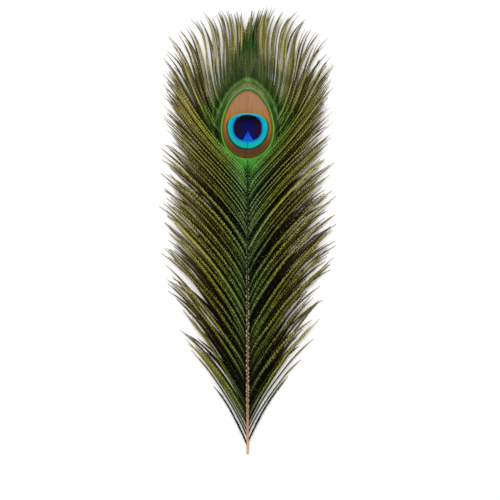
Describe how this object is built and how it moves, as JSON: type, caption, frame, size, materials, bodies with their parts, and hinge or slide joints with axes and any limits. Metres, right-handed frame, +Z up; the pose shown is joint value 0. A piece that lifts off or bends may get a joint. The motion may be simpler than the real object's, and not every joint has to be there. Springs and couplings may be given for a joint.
{
  "type": "peacock feather",
  "caption": "Trimmed peacock tail feather lying face up: a tan shaft with loose olive-green herl and a hooked web carrying the blue, teal and bronze eye under a frayed fringe.",
  "frame": {"origin": "on the surface the feather lies on, under the middle of its length and width", "axes": "+Y along the shaft from its cut end to the tip, +Z up out of the feather's face, +X to the right with the tip away from the viewer"},
  "size_m": [0.1189, 0.28, 0.0096],
  "materials": {
    "shaft_horn": "smooth tan horn (keratin), greyer and speckled dark green towards the eye",
    "loose_herl": "olive-green to bronze fibres with a satin, faintly metallic sheen",
    "eye_barbs": "iridescent satin web: bronze, teal, blue and near-black rings edged in bright green"
  },
  "bodies": {
    "root": {"shaft": "shaft_horn", "left_loose_barbs": "loose_herl", "right_loose_barbs": "loose_herl", "left_eye_web": "eye_barbs", "right_eye_web": "eye_barbs"}
  },
  "joints": []
}
